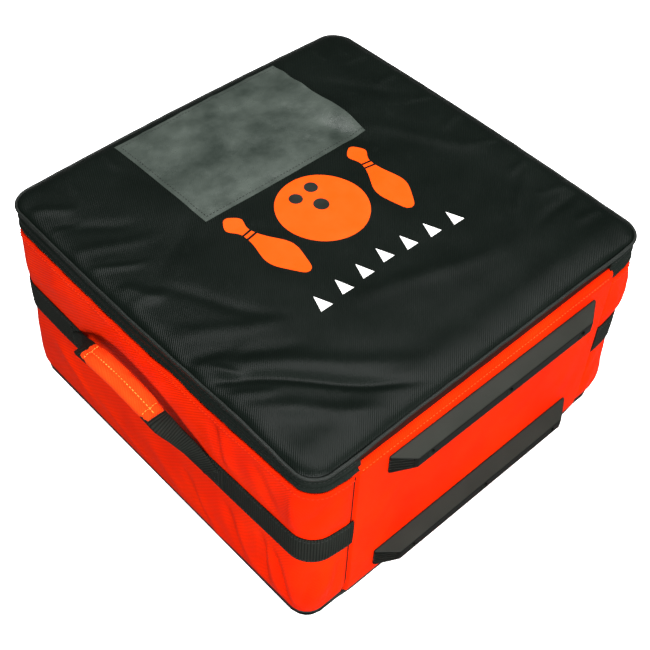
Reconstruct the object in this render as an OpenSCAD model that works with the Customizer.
// Four-ball bowling bag: a square soft case that lies flat, with a zipped lid, a rail panel to
// drag or stand it on, and a handle on each side wall. Origin: middle of the footprint on the
// floor, +Z up, the rail panel faces -Y. Millimetres.

/* [Bag] */
// Width, left to right, over the lid piping
bag_w = 470; // [450:5:520]
// Depth, rail side to far side, over the lid piping
bag_d = 470; // [450:5:520]
// Height of the closed bag over the lid pocket
bag_h = 255; // [250:1:290]
// Corner radius of the outline, seen from above
corner_r = 26; // [20:1:50]

/* [Walls] */
// Height of the orange side wall's folded top edge
wall_top = 221; // [214:1:222]
// Thickness of the wall fabric with its backing
skin_t = 2; // [1.5:0.1:2.5]
// Width of the webbing band and of the webbing sewn on it
webbing_w = 38; // [25:1:50]
// Height of the middle of the webbing band
webbing_z = 128; // [110:1:140]

/* [Rail panel] */
// Width of the orange rail panel
panel_w = 364; // [340:1:380]
// Height of the rail panel's top edge
panel_top = 241; // [236:1:242]
// How far the rail panel stands out of the wall
panel_t = 7; // [5:0.5:9]
// Length of a rail at its base
rail_l = 297; // [260:1:320]
// Width of a rail at its base
rail_w = 25; // [20:1:36]
// How far a rail stands out of the panel
rail_h = 17.5; // [12:0.5:22]
// Width of a rail's flat crest
crest_w = 14; // [12:0.5:16]
// Height of the lower rail's middle
rail_low_z = 46; // [30:1:60]
// Height of the upper rail's middle
rail_high_z = 203; // [150:1:210]
// Sideways place of the lower rail
rail_low_x = 0; // [-10:1:10]
// Sideways place of the upper rail
rail_high_x = 5; // [-10:1:10]
// Distance between neighbouring rail screws
screw_pitch = 110; // [90:1:120]

/* [Handles] */
// Length of the padded grip
grip_l = 110; // [90:1:130]
// Width of the grip's flat side
grip_w = 24; // [20:1:28]
// Thickness of the grip
grip_t = 15; // [13:0.5:18]
// Distance between a handle's two sewn ends
handle_span = 220; // [180:1:260]
// Distance of the grip's middle from the pivot line
handle_reach = 55; // [45:1:70]
// Angle of the raised handle above the horizontal
handle_rise = 71; // [60:1:74]
// Place of both handles along the side walls
handle_y = 12; // [-15:1:15]

/* [Inside] */
// Diameter of a bowling ball
ball_d = 218; // [216:0.5:218.5]
// Thickness of a padded divider
divider_t = 8; // [6:0.5:8]
// Height of the dividers' top edge
divider_top = 165; // [120:1:180]
// Side length of a ball cup
cup_side = 196; // [170:1:200]
// Height of a ball cup
cup_h = 22; // [16:1:30]

/* [Lid pocket] */
// Width of the clear pocket
pocket_w = 226; // [180:1:240]
// Depth of the clear pocket, front to back
pocket_d = 156; // [120:1:170]
// Sideways place of the pocket's middle
pocket_x = 10; // [-15:1:15]
// Place of the pocket's middle towards the far side
pocket_y = 147; // [130:1:150]

/* [Hidden] */

$fn = 48;
gap = 0.1;
cut = 1;
orange = [0.93, 0.22, 0.03];
black = [0.11, 0.12, 0.11];
moulded = [0.22, 0.24, 0.22];
foam_grey = [0.55, 0.56, 0.58];
board_white = [0.86, 0.86, 0.82];
steel = [0.75, 0.76, 0.78];
clear_vinyl = [0.75, 0.82, 0.82, 0.45];

// Layers of a wall, as distances in from the bag's outline
skin_in = 2;
lining_t = 1;
foam_t = 4.5;
board_t = 2;
foam_in = skin_in + skin_t + gap;
board_in = foam_in + foam_t + gap;
lining_in = board_in + board_t + gap;
inner_in = lining_in + lining_t;

// Layers of the base, from the floor up
base_fabric_t = 1.6;
base_piping_r = 2.4;
base_board_t = 4;
base_foam_t = 6;
base_in = 8;
base_board_z = base_fabric_t + gap;
base_foam_z = base_board_z + base_board_t + gap;
base_lining_z = base_foam_z + base_foam_t + gap;
inside_z = base_lining_z + lining_t + gap;
base_piping_z = base_fabric_t + gap + base_piping_r + 0.5;
wall_bottom = base_piping_z + base_piping_r + gap;
wall_pad_bottom = 15;
wall_pad_l = bag_w - 2 * (corner_r + 8);

// Layers of the lid, from the pocket down
vinyl_t = 0.6;
cover_t = 1.6;
lid_piping_r = 2.75;
lid_foam_t = 8;
lid_top = bag_h - vinyl_t - gap;
cover_z = lid_top - cover_t;
lid_piping_z = lid_top - lid_piping_r;
lid_foam_z = cover_z - gap - lid_foam_t;
lid_board_z = lid_foam_z - gap - board_t;
lid_lining_z = lid_board_z - gap - lining_t;
lid_in = 7;

// Zipper: the chain's middle, its two halves and the tapes behind the fabric
zip_z = wall_top + 3.2;
chain_gap = 1.6;
chain_h = 1.6;
chain_in = 2.8;
chain_t = 2.4;
tape_in = skin_in + skin_t + 0.05;
tape_t = 0.8;
tape_h = 16;
gusset_bottom = zip_z + chain_gap / 2 + chain_h + 0.4;
gusset_top = lid_piping_z - lid_piping_r - gap;
front_end = panel_w / 2 + 2;

// Rail panel, its board and its screws
panel_bottom = 4;
panel_face = bag_d / 2 - skin_in + panel_t;
panel_r = 10;
cover_skin = 1.5;
rail_board_t = 3;
hinge_t = 1.2;
hinge_front = bag_d / 2 - skin_in - gap;
rail_board_front = hinge_front - hinge_t - gap;
rail_board_back = rail_board_front - rail_board_t;
front_foam_front = rail_board_back - gap;
screw_r = 2.5;
screw_hole_r = 2.65;
head_r = 4.5;
head_h = 3;
counterbore_r = 5;
counterbore_depth = 7;
washer_r = 6;
washer_t = 1;
nut_t = 2.5;
rail_ramp = 22;

// Handle pivot and the folded webbing of its legs
leg_r = 4;
anchor_t = 2;
anchor_l = 34;
pivot_x = bag_w / 2 + anchor_t + leg_r + 0.4;
wrap_t = 2;
grip_x = pivot_x + handle_reach * cos(handle_rise);
grip_z = webbing_z + handle_reach * sin(handle_rise);

// Zipper sliders on the far side
slider_x = 14;
slider_w = 9;
slider_h = 14;
plate_t = 1.8;
bar_r = 1.1;
eye_bore_r = 1.2;
eye_r = 2.3;
slider_out = bag_d / 2 - skin_in + 0.8;
bar_y = slider_out + plate_t + eye_r + 0.6;
pull_l = 38;
pull_w = 9;
pull_t = 1.6;

// Rounded rectangle of exact lines and arcs
module rounded(w, d, r) {
    square([w - 2 * r, d], center = true);
    square([w, d - 2 * r], center = true);
    for (sx = [-1, 1], sy = [-1, 1])
        translate([sx * (w / 2 - r), sy * (d / 2 - r)]) circle(r = r, $fn = 96);
}

// Flat sheet with the bag's outline, set in by a distance
module sheet(inset, z, t) {
    translate([0, 0, z]) linear_extrude(t)
        rounded(bag_w - 2 * inset, bag_d - 2 * inset, corner_r - inset);
}

// Upright band that follows the bag's outline
module band(inset, t, z_low, z_high) {
    translate([0, 0, z_low]) linear_extrude(z_high - z_low) difference() {
        rounded(bag_w - 2 * inset, bag_d - 2 * inset, corner_r - inset);
        rounded(bag_w - 2 * (inset + t), bag_d - 2 * (inset + t), corner_r - inset - t);
    }
}

// The same band, left open across the front between -half and +half
module open_band(inset, t, z_low, z_high, half) {
    difference() {
        band(inset, t, z_low, z_high);
        translate([-half, -bag_d / 2 - cut, z_low - cut])
            cube([2 * half, corner_r, z_high - z_low + 2 * cut]);
    }
}

// Round cord that follows the bag's outline; inset is measured to its middle
module cord(inset, z, r) {
    w = bag_w - 2 * inset;
    d = bag_d - 2 * inset;
    bend = corner_r - inset;
    translate([0, 0, z]) {
        for (s = [-1, 1]) {
            translate([s * w / 2, 0, 0]) rotate([90, 0, 0])
                cylinder(h = d - 2 * bend, r = r, center = true);
            translate([0, s * d / 2, 0]) rotate([0, 90, 0])
                cylinder(h = w - 2 * bend, r = r, center = true);
        }
        for (turn = [0 : 90 : 270]) {
            side = (turn % 180 == 0) ? [w / 2 - bend, d / 2 - bend] : [d / 2 - bend, w / 2 - bend];
            rotate([0, 0, turn]) translate([side[0], side[1], 0])
                rotate_extrude(angle = 90) translate([bend, 0]) circle(r = r);
        }
    }
}

// Slab that stands against a wall; depth_in is its outer face, measured in from the outline
module wall_slab(side_angle, half_bag, depth_in, t, l, z_low, z_high) {
    rotate([0, 0, side_angle]) translate([-l / 2, half_bag - depth_in - t, z_low])
        cube([l, t, z_high - z_low]);
}

// Something repeated at the six rail screws, drawn along +Y from the panel's face inwards
module at_screws() {
    for (place = [[rail_low_x, rail_low_z], [rail_high_x, rail_high_z]], i = [-1 : 1])
        translate([place.x + i * screw_pitch, 0, place.y]) children();
}

// Cylinder along +Y between two distances from the middle of the bag, on the front side
module front_rod(r, from, to) {
    translate([0, -from, 0]) rotate([-90, 0, 0]) cylinder(h = from - to, r = r);
}

// ---- Base ----
module base_panel() { color(black) sheet(3, 0, base_fabric_t); }
module base_piping() { color(black) cord(skin_in + base_piping_r, base_piping_z, base_piping_r); }
module base_board() { color(board_white) sheet(base_in, base_board_z, base_board_t); }
module base_foam() { color(foam_grey) sheet(base_in, base_foam_z, base_foam_t); }
module base_lining() { color(black) sheet(inner_in + gap, base_lining_z, lining_t); }

// ---- Walls ----
module side_wall() {
    color(orange) open_band(skin_in, skin_t, wall_bottom, wall_top, panel_w / 2 - 6);
}

wall_foam_top = wall_top + 0.4 - tape_h - gap;
module wall_foam(angle, half_bag) {
    color(foam_grey)
        wall_slab(angle, half_bag, foam_in, foam_t, wall_pad_l, wall_pad_bottom, wall_foam_top);
}
module wall_foam_left() { wall_foam(90, bag_w / 2); }
module wall_foam_back() { wall_foam(0, bag_d / 2); }
module wall_foam_right() { wall_foam(-90, bag_w / 2); }

module wall_board(angle, half_bag) {
    color(board_white)
        wall_slab(angle, half_bag, board_in, board_t, wall_pad_l, wall_pad_bottom, wall_top - 4);
}
module wall_board_left() { wall_board(90, bag_w / 2); }
module wall_board_back() { wall_board(0, bag_d / 2); }
module wall_board_right() { wall_board(-90, bag_w / 2); }

module wall_lining() { color(black) band(lining_in, lining_t, inside_z, wall_top - 2); }

// ---- Rail panel ----
// Rounded rectangle in the XZ plane, drawn from one distance in front of the middle to another
module front_plate(w, z_low, z_high, r, from, to) {
    translate([0, -to, (z_low + z_high) / 2]) rotate([90, 0, 0])
        linear_extrude(from - to) rounded(w, z_high - z_low, r);
}

module rail_panel() {
    color(orange) difference() {
        union() {
            front_plate(panel_w, panel_bottom, panel_top, panel_r,
                panel_face - 2.5, bag_d / 2 - skin_in);
            front_plate(panel_w - 5, panel_bottom + 2.5, panel_top - 2.5, panel_r - 2.5,
                panel_face, panel_face - 2.5);
        }
        front_plate(panel_w - 2 * cover_skin, panel_bottom + cover_skin, panel_top - cover_skin,
            panel_r - cover_skin, panel_face - cover_skin - 2.5, bag_d / 2 - skin_in - cut);
        at_screws() front_rod(screw_hole_r, panel_face + cut, bag_d / 2 - skin_in - cut);
    }
}

module rail_panel_foam() {
    rim = cover_skin + gap;
    color(foam_grey) difference() {
        front_plate(panel_w - 2 * rim, panel_bottom + rim, panel_top - rim, panel_r - rim,
            panel_face - rim - 2.5, bag_d / 2 - skin_in + gap);
        at_screws() front_rod(screw_hole_r, panel_face, bag_d / 2 - skin_in - cut);
    }
}

module rail_board() {
    color(board_white) difference() {
        front_plate(panel_w - 14, wall_pad_bottom, panel_top - 7, panel_r,
            rail_board_front, rail_board_back);
        at_screws() front_rod(screw_hole_r, rail_board_front + cut, rail_board_back - cut);
    }
}

module front_foam() {
    color(foam_grey) difference() {
        front_plate(panel_w - 14, wall_pad_bottom, wall_top - 4, panel_r,
            front_foam_front, bag_d / 2 - lining_in + gap);
        at_screws() front_rod(washer_r + 1, front_foam_front + cut, bag_d / 2 - inner_in);
    }
}

// Rail with sloping flanks, a flat crest and a long ramp at each end
module rail(x_mid, z_mid) {
    base_y = -panel_face - gap;
    crest_y = base_y - rail_h;
    lip = 2.5;
    color(moulded) difference() {
        translate([x_mid, 0, z_mid]) intersection() {
            translate([-rail_l / 2, 0, 0]) rotate([90, 0, 90]) linear_extrude(rail_l) polygon([
                [base_y, -rail_w / 2], [base_y, rail_w / 2], [base_y - lip, rail_w / 2],
                [crest_y, crest_w / 2], [crest_y, -crest_w / 2], [base_y - lip, -rail_w / 2]
            ]);
            translate([0, 0, -rail_w / 2]) linear_extrude(rail_w) polygon([
                [-rail_l / 2, base_y], [rail_l / 2, base_y], [rail_l / 2, base_y - lip],
                [rail_l / 2 - rail_ramp, crest_y], [-rail_l / 2 + rail_ramp, crest_y],
                [-rail_l / 2, base_y - lip]
            ]);
        }
        for (i = [-1 : 1]) translate([x_mid + i * screw_pitch, 0, z_mid]) {
            front_rod(screw_hole_r, -crest_y + cut, -base_y - cut);
            front_rod(counterbore_r, -crest_y + cut, -crest_y - counterbore_depth);
        }
    }
}
module rail_upper() { rail(rail_high_x, rail_high_z); }
module rail_lower() { rail(rail_low_x, rail_low_z); }

module rail_screws() {
    seat = panel_face + gap + rail_h - counterbore_depth;
    color(steel) at_screws() difference() {
        union() {
            front_rod(head_r, seat + gap + head_h, seat + gap);
            front_rod(screw_r, seat + cut, rail_board_back - gap - washer_t - nut_t);
        }
        front_rod(1.5, seat + gap + head_h + cut, seat + 1.5, $fn = 6);
    }
}

module rail_washers() {
    color(steel) at_screws() difference() {
        front_rod(washer_r, rail_board_back - gap, rail_board_back - gap - washer_t);
        front_rod(screw_hole_r, rail_board_back + cut, rail_board_back - washer_t - cut);
    }
}

module rail_nuts() {
    nut_front = rail_board_back - 2 * gap - washer_t;
    color(steel) at_screws() difference() {
        front_rod(4.6, nut_front, nut_front - nut_t + gap, $fn = 6);
        front_rod(screw_r + 0.05, nut_front + cut, nut_front - nut_t - cut);
    }
}

// ---- Webbing and handles ----
module webbing_band() {
    color(black) open_band(0, skin_in - 0.05, webbing_z - webbing_w / 2,
        webbing_z + webbing_w / 2, panel_w / 2 + 0.5);
}

module handle_anchors(side) {
    color(black) for (s = [-1, 1])
        translate([side * (bag_w / 2 + 0.05 + anchor_t / 2), handle_y + s * handle_span / 2,
            webbing_z])
            cube([anchor_t, anchor_l, webbing_w - 6], center = true);
}
module handle_anchors_left() { handle_anchors(-1); }
module handle_anchors_right() { handle_anchors(1); }

// Rod between two points
module rod(a, b, r) {
    along = b - a;
    flat = sqrt(along[0] * along[0] + along[1] * along[1]);
    translate(a) rotate([0, atan2(flat, along[2]), atan2(along[1], along[0])])
        cylinder(h = norm(along), r = r);
}

// Webbing folded to a cord: from one sewn end, through the grip, to the other
module handle_loop(side) {
    grip_end = grip_l / 2 + leg_r / 2;
    knuckle_r = leg_r + 0.15;
    color(black) {
        rod([side * grip_x, handle_y - grip_end, grip_z],
            [side * grip_x, handle_y + grip_end, grip_z], leg_r);
        for (s = [-1, 1]) {
            top = [side * grip_x, handle_y + s * grip_end, grip_z];
            foot = [side * pivot_x, handle_y + s * handle_span / 2, webbing_z];
            rod(top, foot, leg_r);
            translate(top) sphere(r = knuckle_r);
            translate(foot) sphere(r = knuckle_r);
        }
    }
}

// Flat oval prism along Y around the grip's middle
module grip_bar(w, t, l) {
    translate([0, handle_y + l / 2, grip_z]) rotate([90, 0, 0]) linear_extrude(l) {
        square([w - t, t], center = true);
        for (s = [-1, 1]) translate([s * (w - t) / 2, 0]) circle(d = t);
    }
}

module handle_core(side) {
    shrink = 2 * (wrap_t + gap);
    color(foam_grey) translate([side * grip_x, 0, 0]) difference() {
        grip_bar(grip_w - shrink, grip_t - shrink, grip_l - 4);
        translate([0, handle_y, grip_z]) rotate([90, 0, 0])
            cylinder(h = grip_l, r = leg_r + gap, center = true);
    }
}

module handle_wrap(side) {
    color(orange) translate([side * grip_x, 0, 0]) difference() {
        grip_bar(grip_w, grip_t, grip_l);
        grip_bar(grip_w - 2 * wrap_t, grip_t - 2 * wrap_t, grip_l + 2 * cut);
    }
}
module handle_left_loop() { handle_loop(-1); }
module handle_left_core() { handle_core(-1); }
module handle_left_wrap() { handle_wrap(-1); }
module handle_right_loop() { handle_loop(1); }
module handle_right_core() { handle_core(1); }
module handle_right_wrap() { handle_wrap(1); }

// ---- Zipper ----
module zipper_tape_lower() {
    top = zip_z - chain_gap / 2 - chain_h - gap;
    color(black) open_band(tape_in, tape_t, top - tape_h, top, front_end);
}
module zipper_tape_upper() {
    low = zip_z + chain_gap / 2 + chain_h + gap;
    color(black) open_band(tape_in, tape_t, low, low + tape_h, front_end);
}
module zipper_teeth_lower() {
    top = zip_z - chain_gap / 2;
    color(moulded) open_band(chain_in, chain_t, top - chain_h, top, front_end);
}
module zipper_teeth_upper() {
    low = zip_z + chain_gap / 2;
    color(moulded) open_band(chain_in, chain_t, low, low + chain_h, front_end);
}

// Small blocks that end the lower half of the chain on both sides of the rail panel
module zipper_stops() {
    stop_h = chain_h + 0.8;
    color(steel) for (s = [-1, 1])
        translate([s * (front_end - 0.8), -bag_d / 2 + chain_in + chain_t / 2,
            zip_z - chain_gap / 2 - stop_h / 2])
            cube([1.4, chain_t, stop_h], center = true);
}

// Slider: an outer and an inner plate, joined between the two rows of teeth, with a bar for the pull
module zipper_slider(x) {
    inner = bag_d / 2 - chain_in - chain_t - 0.4;
    color(steel) translate([x, 0, zip_z]) {
        translate([-slider_w / 2, slider_out, -slider_h / 2])
            cube([slider_w, plate_t, slider_h]);
        translate([-slider_w / 2, inner - plate_t, -slider_h / 2])
            cube([slider_w, plate_t, slider_h]);
        translate([-2, inner - cut / 2, -chain_gap / 2 + 0.2])
            cube([4, slider_out - inner + cut, chain_gap - 0.4]);
        for (s = [-1, 1])
            translate([s * 3.4 - 0.8, slider_out + plate_t - 0.2, -2])
                cube([1.6, bar_y - slider_out - plate_t + bar_r + 0.6, 4]);
        translate([0, bar_y, 0]) rotate([0, 90, 0]) cylinder(h = 6.8, r = bar_r, center = true);
    }
}
module zipper_slider_left() { zipper_slider(-slider_x); }
module zipper_slider_right() { zipper_slider(slider_x); }

// Pull: an eye round the slider's bar and a flat tab that hangs from it
module zipper_pull(x) {
    color(black) translate([x, bar_y, zip_z]) {
        difference() {
            union() {
                rotate([0, 90, 0]) cylinder(h = 4.4, r = eye_r, center = true);
                translate([-2.2, -pull_t / 2, -8]) cube([4.4, pull_t, 8]);
            }
            rotate([0, 90, 0]) cylinder(h = 6, r = eye_bore_r, center = true);
        }
        translate([0, pull_t / 2, -7 - pull_l / 2]) rotate([90, 0, 0])
            linear_extrude(pull_t) rounded(pull_w, pull_l, 3);
    }
}
module zipper_pull_left() { zipper_pull(-slider_x); }
module zipper_pull_right() { zipper_pull(slider_x); }

// ---- Hinge, lid and pocket ----
module hinge_strip() {
    color(black) translate([-panel_w / 2 + 8, -hinge_front, panel_top - 16])
        cube([panel_w - 16, hinge_t, gusset_top - panel_top + 16]);
}

module lid_cover() { color(black) sheet(2 * lid_piping_r + gap, cover_z, cover_t); }
module lid_piping() { color(black) cord(lid_piping_r, lid_piping_z, lid_piping_r); }
module lid_gusset() {
    color(black) open_band(skin_in, skin_t, gusset_bottom, gusset_top, front_end);
}
module lid_foam() { color(foam_grey) sheet(lid_in, lid_foam_z, lid_foam_t); }
module lid_board() { color(board_white) sheet(lid_in, lid_board_z, board_t); }
module lid_lining() { color(black) sheet(lid_in, lid_lining_z, lining_t); }

module id_pocket_window() {
    color(clear_vinyl) translate([pocket_x, pocket_y, lid_top + gap / 2])
        linear_extrude(vinyl_t) rounded(pocket_w, pocket_d, 3);
}

// ---- Inside ----
module divider_long() {
    color(black) translate([-divider_t / 2, -bag_d / 2 + inner_in + 1, inside_z])
        cube([divider_t, bag_d - 2 * inner_in - 2, divider_top - inside_z]);
}
module divider_short(side) {
    l = bag_w / 2 - inner_in - 1 - divider_t / 2 - gap;
    color(black) translate([side > 0 ? divider_t / 2 + gap : -divider_t / 2 - gap - l,
        -divider_t / 2, inside_z]) cube([l, divider_t, divider_top - inside_z]);
}
module divider_left() { divider_short(-1); }
module divider_right() { divider_short(1); }

// Foam block with a round dish that the ball rests in
module ball_cup(sx, sy) {
    off_x = (bag_w / 2 - inner_in + divider_t / 2) / 2;
    off_y = (bag_d / 2 - inner_in + divider_t / 2) / 2;
    dish_r = ball_d / 2 + 1;
    color(foam_grey) translate([sx * off_x, sy * off_y, inside_z]) difference() {
        linear_extrude(cup_h) rounded(cup_side, cup_side, 12);
        translate([0, 0, dish_r + 2]) sphere(r = dish_r, $fn = 96);
    }
}
module ball_cup_front_left() { ball_cup(-1, -1); }
module ball_cup_front_right() { ball_cup(1, -1); }
module ball_cup_back_left() { ball_cup(-1, 1); }
module ball_cup_back_right() { ball_cup(1, 1); }

base_panel();
base_piping();
base_board();
base_foam();
base_lining();
side_wall();
wall_foam_left();
wall_foam_back();
wall_foam_right();
wall_board_left();
wall_board_back();
wall_board_right();
wall_lining();
rail_panel();
rail_panel_foam();
rail_board();
front_foam();
rail_upper();
rail_lower();
rail_screws();
rail_washers();
rail_nuts();
webbing_band();
handle_anchors_left();
handle_anchors_right();
zipper_tape_lower();
zipper_teeth_lower();
zipper_stops();
hinge_strip();
divider_long();
divider_left();
divider_right();
ball_cup_front_left();
ball_cup_front_right();
ball_cup_back_left();
ball_cup_back_right();
lid_cover();
lid_piping();
lid_gusset();
lid_foam();
lid_board();
lid_lining();
zipper_tape_upper();
zipper_teeth_upper();
id_pocket_window();
handle_left_loop();
handle_left_core();
handle_left_wrap();
handle_right_loop();
handle_right_core();
handle_right_wrap();
zipper_slider_left();
zipper_slider_right();
zipper_pull_left();
zipper_pull_right();
